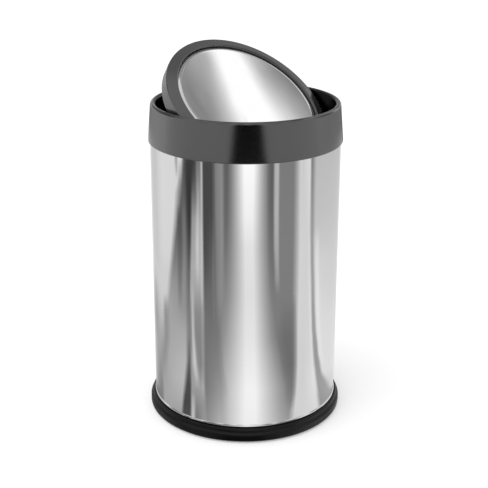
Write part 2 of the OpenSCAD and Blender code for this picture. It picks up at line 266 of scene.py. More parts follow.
def mill_steel(name):
    """Plain rolled sheet inside the can: duller, with rolling lines, blotches and small scratches."""
    made, tree = new_material(name)
    lines = noise(tree, place(tree, (900, 12, 12)), detail=3.0, rough=0.6)
    blotch = noise(tree, place(tree), scale=45.0, detail=5.0, rough=0.6)
    scratch = noise(tree, place(tree, (60, 1400, 60), (0, 0, 0.7)))
    worn = maths(tree, "MULTIPLY", spread(tree, scratch, 0.68, 0.75, 0.0, 1.0), 0.15)
    base = mixed(tree, blotch, grey_colour(0.30), grey_colour(0.40, 0.01))
    level = maths(tree, "ADD", spread(tree, blotch, 0.3, 0.7, 0.28, 0.42), worn)
    settings = {"Base Color": base, "Metallic": 1.0, "Roughness": level}
    finish_material(tree, settings, maths(tree, "ADD", lines, worn), strength=0.15, depth=0.00005)
    return made


def moulded(name, colour, rough, grain, coat=None, matt_within=None, shine=0.5):
    """Moulded plastic: its grain, flow marks, a little dust and paler rubbed edges.

    A show face has a glossy skin, given by its roughness and refractive index. Within a radius it has none.
    """
    made, tree = new_material(name)
    texture = noise(tree, place(tree), scale=grain, detail=3.0, rough=0.6)
    flow = noise(tree, place(tree, (1, 1, 0.25)), scale=28.0, detail=3.0)
    dust = noise(tree, place(tree), scale=420.0)
    rubbed = edges(tree, 0.0005)
    light = tuple(c * 1.25 for c in colour)
    pale = tuple(min(1, c * 2.4 + 0.012) for c in colour)
    tone = mixed(tree, spread(tree, flow, 0.35, 0.65, 0.0, 1.0), (*colour, 1), (*light, 1))
    speck = maths(tree, "MULTIPLY", spread(tree, dust, 0.72, 0.8, 0.0, 1.0), 0.2)
    share = maths(tree, "ADD", maths(tree, "MULTIPLY", rubbed, 0.6), speck)
    base = mixed(tree, share, tone, (*pale, 1))
    level = spread(tree, flow, 0.3, 0.7, rough - 0.03, rough + 0.03)
    level = maths(tree, "ADD", level, maths(tree, "MULTIPLY", rubbed, 0.05))
    settings = {"Base Color": base, "Roughness": level, "Specular IOR Level": shine}
    if coat:
        skin = 1.0
        if matt_within:
            skin = maths(tree, "SUBTRACT", 1.0, inside(tree, matt_within))
        settings.update({"Coat Weight": skin, "Coat Roughness": coat[0], "Coat IOR": coat[1]})
    finish_material(tree, settings, texture, strength=0.25, depth=0.00006)
    return made


def rubber(name):
    """Soft rubber: matt, slightly greyed where it bears on the table."""
    made, tree = new_material(name)
    texture = noise(tree, place(tree), scale=1500.0, detail=3.0, rough=0.7)
    bloom = noise(tree, place(tree), scale=160.0, detail=4.0, rough=0.6)
    rubbed = maths(tree, "MULTIPLY", edges(tree, 0.0006), 0.3)
    share = maths(tree, "ADD", spread(tree, bloom, 0.4, 0.75, 0.0, 0.6), rubbed)
    base = mixed(tree, share, grey_colour(0.018), grey_colour(0.06, 0.02))
    settings = {"Base Color": base, "Roughness": spread(tree, bloom, 0.3, 0.7, 0.72, 0.88)}
    finish_material(tree, settings, texture, strength=0.5, depth=0.0001)
    return made


def turned_steel(name, base_grey, rough, lines):
    """Turned or plated steel: tool marks along one direction, stains and bright edges."""
    made, tree = new_material(name)
    marks = noise(tree, place(tree, lines), rough=0.6)
    stain = noise(tree, place(tree), scale=210.0, detail=4.0, rough=0.6)
    rubbed = maths(tree, "MULTIPLY", edges(tree, 0.0004), 0.7)
    share = spread(tree, stain, 0.35, 0.7, 0.0, 1.0)
    tone = mixed(tree, share, grey_colour(base_grey), grey_colour(base_grey * 0.8, 0.03))
    base = mixed(tree, rubbed, tone, grey_colour(min(0.85, base_grey * 1.4)))
    level = spread(tree, marks, 0.3, 0.7, rough - 0.06, rough + 0.06)
    settings = {"Base Color": base, "Metallic": 1.0, "Roughness": level}
    finish_material(tree, settings, marks, strength=0.2, depth=0.00004)
    return made


# ---------------------------------------------------------------- studio
def make_world():
    """White behind the can, and an even pale light all round it."""
    world = bpy.data.worlds.new("studio")
    world.use_nodes = True
    tree = world.node_tree
    tree.nodes.clear()
    seen = node(tree, "LightPath").outputs["Is Camera Ray"]
    level = linear(STUDIO_GREY)
    colour = mixed(tree, seen, grey_colour(level), grey_colour(1.0))
    background = node(tree, "Background", {"Color": colour, "Strength": 1.0})
    node(tree, "OutputWorld", {"Surface": background.outputs[0]})
    world.cycles.sampling_method = "NONE"
    bpy.context.scene.world = world


def make_floor():
    """A pale round floor that keeps the can's soft shadow. Shiny surfaces see the studio in its place."""
    mesh = bpy.data.meshes.new("floor")
    shape = bmesh.new()
    bmesh.ops.create_circle(shape, cap_ends=True, radius=FLOOR_R, segments=FLOOR_SIDES)
    shape.to_mesh(mesh)
    shape.free()
    floor = bpy.data.objects.new("floor", mesh)
    floor.location.z = -FLOOR_GAP
    floor.visible_glossy = False
    bpy.context.scene.collection.objects.link(floor)
    made, tree = new_material("floor")
    paper = noise(tree, place(tree), scale=300.0, detail=3.0)
    base = mixed(tree, paper, grey_colour(FLOOR_GREY - 0.01), grey_colour(FLOOR_GREY + 0.01))
    matt = node(tree, "BsdfDiffuse", {"Color": base})
    seen = node(tree, "LightPath").outputs["Is Camera Ray"]
    glow = maths(tree, "MULTIPLY", seen, FLOOR_LIFT)
    lift = node(tree, "Emission", {"Color": grey_colour(1.0), "Strength": glow})
    both = node(tree, "AddShader", {0: matt.outputs[0], 1: lift.outputs[0]})
    node(tree, "OutputMaterial", {"Surface": both.outputs[0]})
    mesh.materials.append(made)


def make_lamp():
    """One broad soft light, high on the camera's left."""
    data = bpy.data.lights.new("key", "SUN")
    data.energy = LAMP_POWER
    data.angle = LAMP_WIDTH
    lamp = bpy.data.objects.new("key", data)
    aim = toward(LAMP_TURN) * LAMP_OUT + Vector((0, 0, LAMP_UP))
    lamp.rotation_euler = aim.to_track_quat("Z", "Y").to_euler()
    lamp.visible_glossy = False
    bpy.context.scene.collection.objects.link(lamp)


def card_material():
    """Light of the card's own grey, let through where its cover runs out."""
    made, tree = new_material("studio_card")
    grey = node(tree, "Attribute", attribute_name="grey").outputs["Fac"]
    cover = node(tree, "Attribute", attribute_name="cover").outputs["Fac"]
    light = node(tree, "Emission", {"Color": grey_colour(1.0), "Strength": grey})
    clear = node(tree, "BsdfTransparent")
    both = node(tree, "MixShader", {0: cover, 1: clear.outputs[0], 2: light.outputs[0]})
    node(tree, "OutputMaterial", {"Surface": both.outputs[0]})
    made.cycles.emission_sampling = "NONE"
    return made


def bounced(point, normal):
    """The direction in which the camera's line of sight leaves a mirror there."""
    sight = (point - CAMERA_AT).normalized()
    return sight - 2 * sight.dot(normal) * normal


def behind(start, normal, distance):
    """Where a round wall at this distance from the can's axis shows in a mirror at this place."""
    ray = bounced(start, normal)
    a = ray.x ** 2 + ray.y ** 2
    b = start.x * ray.x + start.y * ray.y
    c = start.x ** 2 + start.y ** 2 - distance ** 2
    return start + ray * ((-b + math.sqrt(b * b - a * c)) / a)


def behind_drum(height, angle, distance):
    """Where the wall shows on the drum at this height and angle."""
    out = toward(angle)
    return behind(out * DRUM_R + Vector((0, 0, height)), out, distance)


def behind_collar(height, angle, distance):
    """Where the wall shows on the collar's band, which leans in."""
    out = toward(angle)
    radius = COLLAR_LOW_R - (height - COLLAR_LOW_Z) * math.tan(COLLAR_LEAN)
    normal = out * math.cos(COLLAR_LEAN) + Vector((0, 0, math.sin(COLLAR_LEAN)))
    return behind(out * radius + Vector((0, 0, height)), normal, distance)


def above_plate(slope, across, ceiling):
    """Where a ceiling at this height shows on the lid's plate, at this place up its slope and across it."""
    up_slope = Vector((0, math.cos(LID_TILT), math.sin(LID_TILT)))
    normal = Vector((0, -math.sin(LID_TILT), math.cos(LID_TILT)))
    start = Vector((across, 0, PIVOT_Z)) + normal * PLATE_RISE + up_slope * slope
    ray = bounced(start, normal)
    return start + ray * ((ceiling - start.z) / ray.z)


def on_dome(elevation, azimuth, distance):
    """A point on a dome round the lid, far outside the other cards. Both angles are in degrees."""
    e = math.radians(elevation)
    return toward(azimuth) * math.cos(e) * distance + Vector((0, 0, PIVOT_Z + math.sin(e) * distance))


def round_floor(radius, angle, height):
    """A point just above the floor, round the can."""
    return toward(angle) * radius + Vector((0, 0, height))


def between(first, last, share):
    """A row part of the way between two others."""
    return [f + (g - f) * share for f, g in zip(first, last)]


def filled(rows, step):
    """The rows with others between them, so that no two lie further apart than a step."""
    dense = [list(rows[0])]
    for first, last in zip(rows, rows[1:]):
        count = max(1, math.ceil(abs(last[0] - first[0]) / step))
        dense += [between(first, last, i / count) for i in range(1, count + 1)]
    return dense


def tone_at(tones, share):
    """The grey at a share of the way across, where the tones stand evenly spaced."""
    if len(tones) == 1:
        return tones[0]
    along = share * (len(tones) - 1)
    low = min(int(along), len(tones) - 2)
    return tones[low] + (tones[low + 1] - tones[low]) * (along - low)


def evened(row, count):
    """The row with this many tones, evenly spaced from its left to its right."""
    tones = row[5:]
    return [*row[:5], *(tone_at(tones, i / max(1, count - 1)) for i in range(count))]


def soft_edge(tone):
    """Cover through a soft edge, from its outside in. It looks even, whether the card is light or dark."""
    power = PALE_EDGE_POWER if tone > PALE_TONE else DARK_EDGE_POWER
    return [(i / EDGE_STEPS) ** power for i in range(EDGE_STEPS)]


def columns_of(row, count, cover):
    """Across a row: each column's place, its light and its cover, with a soft edge at each side."""
    along, left, right, left_soft, right_soft, *tones = row
    low, high = left + left_soft / 2, right - right_soft / 2
    columns = []
    for i, part in enumerate(soft_edge(tones[0])):
        across = left - left_soft / 2 + left_soft * i / EDGE_STEPS
        columns.append((across, linear(tones[0]) / STEEL, cover * part))
    for i in range(count + 1):
        share = i / count
        columns.append((low + (high - low) * share, linear(tone_at(tones, share)) / STEEL, cover))
    for i, part in reversed(list(enumerate(soft_edge(tones[-1])))):
        across = right + right_soft / 2 - right_soft * i / EDGE_STEPS
        columns.append((across, linear(tones[-1]) / STEEL, cover * part))
    return columns


def card(name, where, distance, rows, fade=(0.0, 0.0), step=0.006, stride=3.0, beyond=()):
    """A studio card that only reflections show.

    A row is (place along, left, right, soft left, soft right, grey or greys from left to right).
    The fades are how far the card takes to come in at its first row and to go out at its last. No two rows
    of faces lie further apart than a step, and no two columns than a stride. The last row is repeated at
    each place beyond it.
    """
    count = max(2, math.ceil(max(r[2] - r[1] for r in rows) / stride))
    tones = max(len(r) for r in rows) - 5
    dense = filled([evened(r, tones) for r in rows], step)
    dense += [[along, *dense[-1][1:]] for along in beyond]
    points = []
    greys = []
    covers = []
    for row in dense:
        from_ends = abs(row[0] - dense[0][0]), abs(dense[-1][0] - row[0])
        cover = min([1.0] + [d / f for d, f in zip(from_ends, fade) if f])
        for across, grey, full in columns_of(row, count, cover):
            points.append(where(row[0], across, distance))
            greys.append(grey)
            covers.append(full)
    wide = count + 1 + 2 * EDGE_STEPS
    faces = []
    for r in range(len(dense) - 1):
        for c in range(wide - 1):
            a = r * wide + c
            faces.append((a, a + 1, a + wide + 1, a + wide))
    mesh = bpy.data.meshes.new(name)
    mesh.from_pydata(points, [], faces)
    mesh.attributes.new("grey", "FLOAT", "POINT").data.foreach_set("value", greys)
    mesh.attributes.new("cover", "FLOAT", "POINT").data.foreach_set("value", covers)
    mesh.materials.append(CARD)
    made = bpy.data.objects.new(name, mesh)
    made.visible_camera = False
    made.visible_diffuse = False
    made.visible_transmission = False
    made.visible_shadow = False
    bpy.context.scene.collection.objects.link(made)


def drum_card(name, distance, rows, fade=(0.0, 0.0)):
    """A card placed by where it shows on the drum: rows go down the drum, and across in degrees round it.

    Where it doesn't fade it runs on above and below the drum, which other views of the can show.
    """
    fade_in, fade_out = fade
    if not fade_in:
        rows = [(rows[0][0] + ABOVE_DRUM, *rows[0][1:]), *rows]
        fade_in = ABOVE_DRUM
    beyond = () if fade_out else BELOW_DRUM
    card(name, behind_drum, distance, rows, (fade_in, fade_out), beyond=beyond)


def make_drum_cards():
    """The studio round the can, from left to right. Of two cards that meet, the nearer one shows."""
    drum_card("card_far_edge", 0.2725, [
        (0.184, -89.6, -76.0, 0.5, 4, 0.80, 0.86),
        (0.100, -89.6, -75.0, 0.5, 4, 0.78, 0.85),
        (0.010, -89.6, -75.0, 0.5, 4, 0.74, 0.82),
    ])
    drum_card("card_far_band", 0.27, [
        (0.184, -76.5, -62.0, 4, 7, 0.76),
        (0.095, -76.5, -62.0, 4, 7, 0.77),
    ], (0.0, 0.015))
    drum_card("card_left_light", 0.2675, [
        (0.184, -62, -42, 10, 1, 0.84),
        (0.150, -62, -42, 10, 1, 0.84),
        (0.120, -62, -46, 10, 1, 0.83),
        (0.100, -62, -50, 10, 1, 0.81),
    ], (0.0, 0.015))
    drum_card("card_far_patch", 0.2625, [
        (0.112, -78, -66, 7, 7, 0.78),
        (0.085, -80, -60, 9, 6, 0.72, 0.66, 0.74, 0.78),
        (0.070, -80, -59, 9, 5, 0.66, 0.61, 0.69, 0.72),
        (0.050, -80, -59, 9, 5, 0.70, 0.63, 0.63, 0.60),
        (0.035, -81, -60, 9, 5, 0.70, 0.63, 0.57, 0.54),
        (0.020, -80, -60, 7, 5, 0.66, 0.58, 0.52, 0.48),
        (0.010, -84, -60, 5, 5, 0.46, 0.42, 0.46, 0.50),
    ], (0.020, 0.0))
    drum_card("card_second_patch", 0.2575, [
        (0.090, -58.5, -54.0, 4, 4, 0.56),
        (0.060, -59.0, -54.0, 5, 5, 0.56),
        (0.030, -66.0, -60.0, 6, 6, 0.56),
    ], (0.010, 0.015))
    drum_card("card_wedge", 0.2475, [
        (0.184, -42.0, -39.0, 1.5, 1.5, 0.93),
        (0.176, -41.4, -39.2, 1.5, 1.5, 0.74),
        (0.166, -41.3, -39.6, 1.5, 1.5, 0.62),
    ], (0.0, 0.006))
    drum_card("card_wedge_edge", 0.245, [
        (0.184, -44.2, -42.6, 2, 1, 0.58),
        (0.168, -43.8, -42.2, 2, 1, 0.64),
    ], (0.0, 0.006))
    drum_card("card_side_flat", 0.26, [
        (0.184, -38.0, -34.5, 2, 1, 0.35),
        (0.172, -39.5, -34.5, 3, 1, 0.36),
        (0.160, -42.0, -34.5, 6, 1, 0.37),
        (0.145, -44.0, -34.5, 5, 1, 0.37, 0.40),
        (0.130, -46.5, -34.0, 4, 1, 0.42, 0.43),
        (0.115, -48.8, -34.0, 4, 1, 0.49, 0.49),
        (0.100, -51.5, -34.0, 4, 1, 0.59, 0.54),
        (0.085, -55.0, -34.0, 5, 1, 0.64, 0.56),
        (0.070, -59.0, -34.5, 8, 1, 0.64, 0.66),
        (0.050, -64.0, -35.0, 8, 1, 0.64, 0.72),
        (0.035, -64.0, -36.0, 7, 1, 0.62, 0.69, 0.74),
        (0.020, -62.5, -38.0, 6, 1, 0.64, 0.66, 0.68),
        (0.010, -62.0, -38.0, 5, 1, 0.64, 0.62, 0.60),
    ])
    drum_card("card_side_dark", 0.25, [
        (0.152, -42.8, -40.0, 2.0, 2.0, 0.31),
        (0.130, -43.0, -39.8, 2.4, 2.4, 0.35),
        (0.115, -43.0, -40.0, 2.4, 2.4, 0.41),
        (0.100, -43.2, -40.6, 2.4, 2.4, 0.47),
        (0.080, -43.2, -40.6, 2.4, 2.4, 0.57),
    ], (0.008, 0.012))
    drum_card("card_side_light", 0.2525, [
        (0.155, -39.0, -36.8, 1.4, 1.4, 0.42),
        (0.130, -39.0, -36.8, 1.4, 1.4, 0.46),
        (0.115, -39.4, -37.2, 1.4, 1.4, 0.52),
        (0.095, -40.0, -38.0, 1.8, 1.8, 0.59),
    ], (0.008, 0.012))
    drum_card("card_side_edge", 0.2475, [
        (0.184, -36.4, -30.6, 2.5, 2, 0.22),
        (0.172, -36.4, -31.6, 2.5, 2, 0.22),
        (0.160, -36.0, -32.2, 2.5, 1.5, 0.21),
        (0.145, -35.8, -32.5, 2.5, 1.5, 0.21),
        (0.130, -35.6, -33.0, 2.5, 1.5, 0.27),
        (0.115, -35.8, -33.6, 2.5, 1.5, 0.35),
        (0.100, -36.2, -34.2, 3, 1.5, 0.42),
        (0.085, -36.4, -34.4, 3, 1.5, 0.46),
        (0.070, -36.6, -34.5, 3, 1.5, 0.48),
        (0.050, -37.0, -34.3, 2.5, 1.5, 0.38),
        (0.035, -38.8, -34.3, 3, 1.5, 0.29),
        (0.020, -41.0, -34.8, 2, 1, 0.28),
        (0.010, -42.0, -35.2, 2, 1, 0.31),
    ])
    drum_card("card_strip_left", 0.255, [
        (0.184, -34.0, -26.2, 1, 2, 0.24),
        (0.170, -34.0, -26.2, 1, 2, 0.33),
        (0.160, -34.0, -26.2, 1, 2, 0.44),
        (0.145, -34.0, -26.0, 1, 2.4, 0.60),
        (0.115, -34.0, -25.9, 1, 2.8, 0.67),
        (0.100, -34.0, -25.6, 1, 3, 0.64),
        (0.085, -34.4, -25.4, 1, 3, 0.54),
        (0.070, -34.6, -25.0, 1, 4, 0.50, 0.52),
        (0.050, -35.0, -25.0, 1, 4, 0.64, 0.50),
        (0.035, -35.0, -25.0, 1, 4, 0.62, 0.62),
        (0.020, -36.0, -23.5, 1, 4, 0.56, 0.50, 0.58),
        (0.010, -37.0, -23.0, 1, 4, 0.52, 0.44, 0.60),
    ])
    drum_card("card_strip_core", 0.245, [
        (0.184, -28.8, -26.6, 1.6, 1.6, 0.44),
        (0.170, -28.8, -26.6, 1.6, 1.6, 0.54),
        (0.160, -28.8, -26.7, 1.6, 1.6, 0.64),
        (0.145, -29.4, -27.0, 1.8, 1.8, 0.74),
        (0.130, -29.8, -27.3, 2.0, 2.0, 0.79),
        (0.115, -29.8, -27.4, 2.0, 2.0, 0.77),
        (0.098, -29.6, -27.2, 2.0, 2.0, 0.67),
    ], (0.0, 0.012))
    drum_card("card_strip_stray", 0.2425, [
        (0.108, -33.4, -31.2, 1.2, 1.6, 0.68),
        (0.085, -33.4, -31.4, 1.2, 1.6, 0.71),
        (0.070, -33.3, -31.2, 1.2, 1.6, 0.74),
        (0.050, -32.9, -30.0, 1.6, 1.8, 0.78),
        (0.032, -30.8, -27.6, 1.6, 1.8, 0.67),
    ], (0.010, 0.008))
    drum_card("card_strip_foot", 0.2425, [
        (0.030, -34.0, -31.4, 1.0, 1.6, 0.66),
        (0.020, -34.2, -31.6, 1.0, 1.6, 0.70),
        (0.010, -34.4, -31.8, 1.0, 1.6, 0.76),
    ], (0.006, 0.0))
    drum_card("card_gap_left", 0.25, [
        (0.184, -24.9, -17.8, 1.2, 2, 0.27),
        (0.150, -24.9, -17.8, 1.2, 2, 0.27, 0.29),
        (0.130, -24.9, -17.8, 1.2, 2.5, 0.27, 0.35),
        (0.115, -24.9, -17.8, 1.4, 3, 0.32, 0.38),
        (0.100, -25.0, -17.6, 1.6, 3, 0.39, 0.42),
        (0.085, -25.0, -17.2, 2, 4, 0.43),
        (0.050, -25.0, -14.5, 2, 6, 0.46, 0.51),
        (0.035, -25.0, -12.5, 2, 6, 0.47, 0.58),
        (0.010, -24.5, -12.0, 3, 6, 0.56, 0.69),
    ])
    drum_card("card_fill_left", 0.2575, [
        (0.184, -18.5, -11.0, 1, 1, 0.46, 0.53, 0.54),
        (0.130, -18.5, -11.0, 1, 1, 0.44, 0.53, 0.57),
        (0.100, -18.5, -11.0, 1, 1, 0.46, 0.54, 0.57),
        (0.070, -18.5, -11.0, 1, 1, 0.48, 0.48, 0.50),
        (0.010, -18.5, -11.0, 1, 1, 0.55, 0.55, 0.60),
    ])
    drum_card("card_gap_middle", 0.255, [
        (0.184, -12.3, 3.0, 1.5, 1, 0.37),
        (0.150, -12.3, 3.0, 1.5, 1, 0.40),
        (0.130, -12.3, 3.0, 1.5, 1, 0.44),
        (0.100, -12.5, 3.0, 3, 1, 0.51),
        (0.070, -13.0, 3.0, 3, 1, 0.50),
        (0.010, -13.0, 3.0, 3, 1, 0.60),
    ])
    drum_card("card_soft_box", 0.2525, [
        (0.184, -5.2, 8.7, 9, 8, 0.99),
        (0.150, -5.2, 8.7, 10, 9, 0.94),
        (0.130, -5.4, 9.2, 11, 9.5, 0.885),
        (0.100, -5.6, 10.6, 12, 11, 0.87),
        (0.070, -8.0, 12.4, 17, 14, 0.895),
        (0.035, -10.2, 17.2, 22, 22, 0.95),
        (0.010, -11.0, 17.2, 22, 21, 0.93),
    ])
    drum_card("card_edge_middle", 0.25, [
        (0.184, 13.2, 15.8, 3, 0.8, 0.36),
        (0.160, 13.4, 15.8, 3, 0.8, 0.37),
        (0.130, 13.8, 16.2, 3, 0.8, 0.42),
        (0.115, 14.4, 16.8, 3, 1, 0.45),
        (0.100, 15.4, 17.6, 3, 1, 0.48),
        (0.085, 16.4, 18.6, 3, 1, 0.50),
    ], (0.0, 0.015))
    drum_card("card_strip_right", 0.2475, [
        (0.184, 16.4, 19.2, 1.2, 1, 0.70),
        (0.150, 16.5, 19.3, 1.2, 1, 0.69),
        (0.130, 16.8, 19.6, 1.2, 1, 0.66),
        (0.115, 17.5, 20.0, 1.4, 1, 0.61),
        (0.098, 18.2, 20.4, 1.4, 1.2, 0.57),
    ], (0.0, 0.012))
    drum_card("card_flat_right", 0.26, [
        (0.184, 2.0, 30.6, 1, 4.5, 0.48),
        (0.130, 2.0, 31.0, 1, 5, 0.49),
        (0.050, 2.0, 31.2, 1, 5, 0.48),
        (0.030, 2.0, 30.8, 1, 5, 0.50),
        (0.010, 2.0, 29.5, 1, 4, 0.60),
    ])
    drum_card("card_blob_right", 0.25, [
        (0.098, 22.5, 30.2, 4, 4, 0.48),
        (0.085, 22.0, 30.4, 4, 4, 0.46),
        (0.070, 21.5, 30.9, 5, 4.5, 0.43),
        (0.050, 24.5, 31.7, 7, 4.5, 0.42),
        (0.035, 27.0, 31.4, 6, 4.5, 0.46),
        (0.018, 27.0, 30.2, 5, 4, 0.53),
    ], (0.010, 0.010))
    drum_card("card_fill_right", 0.265, [
        (0.184, 31.0, 41.5, 1, 1, 0.82, 0.79, 0.84, 0.84),
        (0.160, 31.0, 42.0, 1, 1, 0.82, 0.80, 0.82, 0.88),
        (0.125, 31.0, 43.0, 1, 1, 0.82, 0.82, 0.81, 0.91),
        (0.088, 31.0, 45.0, 1, 1, 0.83, 0.82, 0.82, 0.91),
        (0.056, 31.0, 49.0, 1, 1, 0.82, 0.81, 0.83, 0.94),
        (0.035, 31.0, 52.0, 1, 1, 0.82, 0.81, 0.86, 0.93),
        (0.020, 31.0, 55.0, 1, 1, 0.82, 0.82, 0.85, 0.88),
        (0.010, 31.0, 58.0, 1, 1, 0.80, 0.82, 0.84, 0.85),
    ])
    drum_card("card_edge_right", 0.2525, [
        (0.184, 40.3, 43.2, 1, 3, 0.50),
        (0.160, 40.6, 43.6, 1.4, 2.4, 0.56),
        (0.130, 41.0, 44.2, 2, 2, 0.61),
        (0.115, 41.6, 44.8, 2, 2, 0.61),
        (0.100, 42.5, 45.8, 2, 2, 0.62),
        (0.085, 43.3, 46.6, 1.6, 2, 0.61),
        (0.070, 44.2, 48.0, 1.6, 2, 0.61),
        (0.050, 46.6, 51.0, 2, 2, 0.59),
        (0.035, 48.7, 56.2, 3, 4, 0.61),
        (0.020, 52.0, 69.0, 4, 8, 0.60, 0.64),
        (0.010, 54.5, 86.0, 4, 4, 0.57, 0.64),
    ])
    drum_card("card_edge_light", 0.25, [
        (0.138, 45.8, 48.6, 2, 2, 0.83),
        (0.115, 46.0, 49.2, 2, 3, 0.87),
        (0.100, 46.9, 50.4, 2, 3, 0.88),
        (0.085, 47.5, 51.2, 2, 3, 0.89),
        (0.070, 49.0, 53.0, 2, 3, 0.88),
        (0.050, 51.8, 56.2, 2, 3, 0.88),
        (0.034, 57.0, 62.0, 3, 3, 0.86),
    ], (0.012, 0.010))
    drum_card("card_zone_right", 0.2575, [
        (0.184, 43.0, 77.0, 2, 6, 0.73),
        (0.145, 44.0, 77.0, 2, 6, 0.755),
        (0.130, 44.0, 77.0, 2, 6, 0.78, 0.765),
        (0.115, 45.0, 77.0, 2, 6, 0.82, 0.78),
        (0.100, 46.0, 77.0, 2, 6, 0.83, 0.79),
        (0.085, 47.0, 77.0, 2, 6, 0.85, 0.80),
        (0.070, 48.0, 77.0, 2, 6, 0.86, 0.83),
        (0.035, 54.0, 80.0, 2, 6, 0.86, 0.84),
        (0.022, 62.0, 82.0, 4, 6, 0.80, 0.82),
    ], (0.0, 0.008))


def make_collar_cards():
    """Cards placed by where they show on the collar's band, and a black one on the floor before the foot
    ring: a painted floor shadow that only reflections show.
    """
    card("card_collar_front", behind_collar, WALL, [
        (0.148, -10.2, 13.6, 2, 2, 0.0),
        (0.182, -8.9, 12.0, 2, 2, 0.0),
        (0.196, -7.0, 10.0, 3, 3, 0.0),
        (0.204, -6.2, 9.0, 3, 3, 0.03),
        (0.280, -5.0, 8.0, 3, 3, 0.10),
    ])
    card("card_collar_left", behind_collar, WALL, [
        (0.181, -87, -50, 1, 6, 0.36, 0.46, 0.60, 0.74, 0.84),
        (0.280, -87, -50, 1, 6, 0.36, 0.46, 0.60, 0.74, 0.84),
    ], (0.0, 0.03))
    card("card_collar_right", behind_collar, WALL, [
        (0.181, 43, 87, 8, 1, 0.80, 0.67, 0.56, 0.44, 0.36),
        (0.280, 43, 87, 8, 1, 0.80, 0.67, 0.56, 0.44, 0.36),
    ], (0.0, 0.03))
    # Painted shadow: a black sheet that stands in for the floor's shade next to the foot ring, as the foot
    # ring reflects it
    card("card_floor_shadow", round_floor, 4 * FLOOR_GAP, [
        (0.0636, -17, 16, 14, 14, 0.0),
        (0.0775, -17, 16, 14, 14, 0.0),
    ])


def make_lid_cards():
    """Cards for the lid: three that show in its plate, and others that show in its bevel and rim."""
    card("card_over_left", above_plate, CEILING_Z + 0.02, [
        (-0.070, -0.056, -0.016, 0.010, 0.002, 0.48, 0.51, 0.50, 0.55, 0.62, 0.70, 0.80, 0.91, 0.98),
        (-0.020, -0.052, -0.015, 0.010, 0.002, 0.48, 0.51, 0.50, 0.55, 0.62, 0.70, 0.80, 0.91, 0.98),
        (-0.010, -0.052, -0.012, 0.010, 0.002, 0.48, 0.52, 0.51, 0.56, 0.64, 0.72, 0.81, 0.91, 0.98),
        (0.000, -0.052, -0.010, 0.010, 0.002, 0.47, 0.53, 0.51, 0.56, 0.59, 0.68, 0.76, 0.88, 0.97),
        (0.010, -0.052, -0.007, 0.010, 0.002, 0.50, 0.54, 0.50, 0.57, 0.57, 0.635, 0.73, 0.84, 0.97),
        (0.020, -0.052, -0.003, 0.010, 0.002, 0.50, 0.55, 0.51, 0.545, 0.585, 0.63, 0.71, 0.87, 0.98),
        (0.040, -0.040, 0.003, 0.010, 0.002, 0.50, 0.54, 0.58, 0.62, 0.65, 0.66, 0.70, 0.86, 0.94),
        (0.080, -0.040, 0.008, 0.010, 0.002, 0.50, 0.54, 0.58, 0.62, 0.65, 0.66, 0.70, 0.86, 0.94),
    ], step=0.01, stride=0.0025)
    card("card_over_right", above_plate, CEILING_Z + 0.02, [
        (-0.070, 0.007, 0.055, 0.002, 0.010, 0.98, 0.93, 0.85, 0.78, 0.70, 0.63, 0.57, 0.52, 0.49),
        (-0.010, 0.008, 0.055, 0.002, 0.010, 0.98, 0.93, 0.845, 0.78, 0.69, 0.625, 0.57, 0.52, 0.49),
        (0.000, 0.010, 0.056, 0.002, 0.010, 0.98, 0.93, 0.81, 0.73, 0.67, 0.585, 0.53, 0.50, 0.48),
        (0.010, 0.012, 0.058, 0.002, 0.010, 0.98, 0.90, 0.75, 0.67, 0.605, 0.54, 0.50, 0.48, 0.46),
        (0.020, 0.015, 0.060, 0.002, 0.010, 0.98, 0.84, 0.70, 0.635, 0.56, 0.53, 0.50, 0.48, 0.46),
        (0.030, 0.015, 0.060, 0.002, 0.010, 0.98, 0.88, 0.73, 0.675, 0.61, 0.55, 0.50, 0.48, 0.46),
        (0.080, 0.018, 0.060, 0.002, 0.010, 0.98, 0.88, 0.73, 0.675, 0.61, 0.55, 0.50, 0.48, 0.46),
    ], step=0.01, stride=0.0025)
    card("card_over_box", above_plate, CEILING_Z, [
        (-0.070, -0.017, 0.009, 0.004, 0.004, 1.0),
        (0.000, -0.012, 0.012, 0.004, 0.004, 1.0),
        (0.020, -0.006, 0.0165, 0.005, 0.003, 1.0),
        (0.040, 0.000, 0.0185, 0.006, 0.003, 1.0),
        (0.080, 0.004, 0.020, 0.006, 0.003, 1.0),
    ], step=0.01, stride=0.01)
    card("card_lid_beside", on_dome, DOME, [
        (52, 98, 140, 4, 4, 0.52),
        (66, 98, 142, 4, 4, 0.52),
    ], (3, 3), step=2, stride=4)
    card("card_lid_above", on_dome, DOME + 0.1, [
        (58, 20, 150, 8, 8, 0.76),
        (89, 20, 150, 8, 8, 0.76),
    ], (4, 2), step=2, stride=6)
    card("card_lid_back", on_dome, DOME, [
        (2, 147, 190, 4, 8, 0.50),
        (30, 147, 192, 4, 8, 0.53),
        (45, 148, 220, 4, 8, 0.54),
        (57, 144, 235, 4, 8, 0.54),
        (72, 143, 240, 6, 8, 0.54),
    ], (4, 3), step=2, stride=4)
    card("card_side_back_left", on_dome, DOME, [
        (3, -165, -95, 8, 10, 0.45),
        (48, -165, -95, 8, 10, 0.45),
    ], (6, 10), step=3, stride=5)
    card("card_side_back_right", on_dome, DOME, [
        (3, 95, 130, 10, 8, 0.45),
        (36, 95, 130, 10, 8, 0.45),
    ], (6, 10), step=3, stride=5)


def make_sky_card():
    """Soft light and dark bands high in front of the can, which the lid's plate shows from other sides."""
    bands = [0.75 + 0.18 * math.sin(1.9 * i) for i in range(28)]
    card("card_sky", on_dome, DOME + 0.3, [
        (20, -95, 95, 10, 10, *bands),
        (80, -95, 95, 10, 10, *bands),
    ], (8, 8), step=4, stride=4)


# ---------------------------------------------------------------- the can
def paint(nodes, names, material):
    """This material alone on these CAD nodes."""
    for name in names:
        data = nodes[name].data
        data.materials.clear()
        data.materials.append(material)


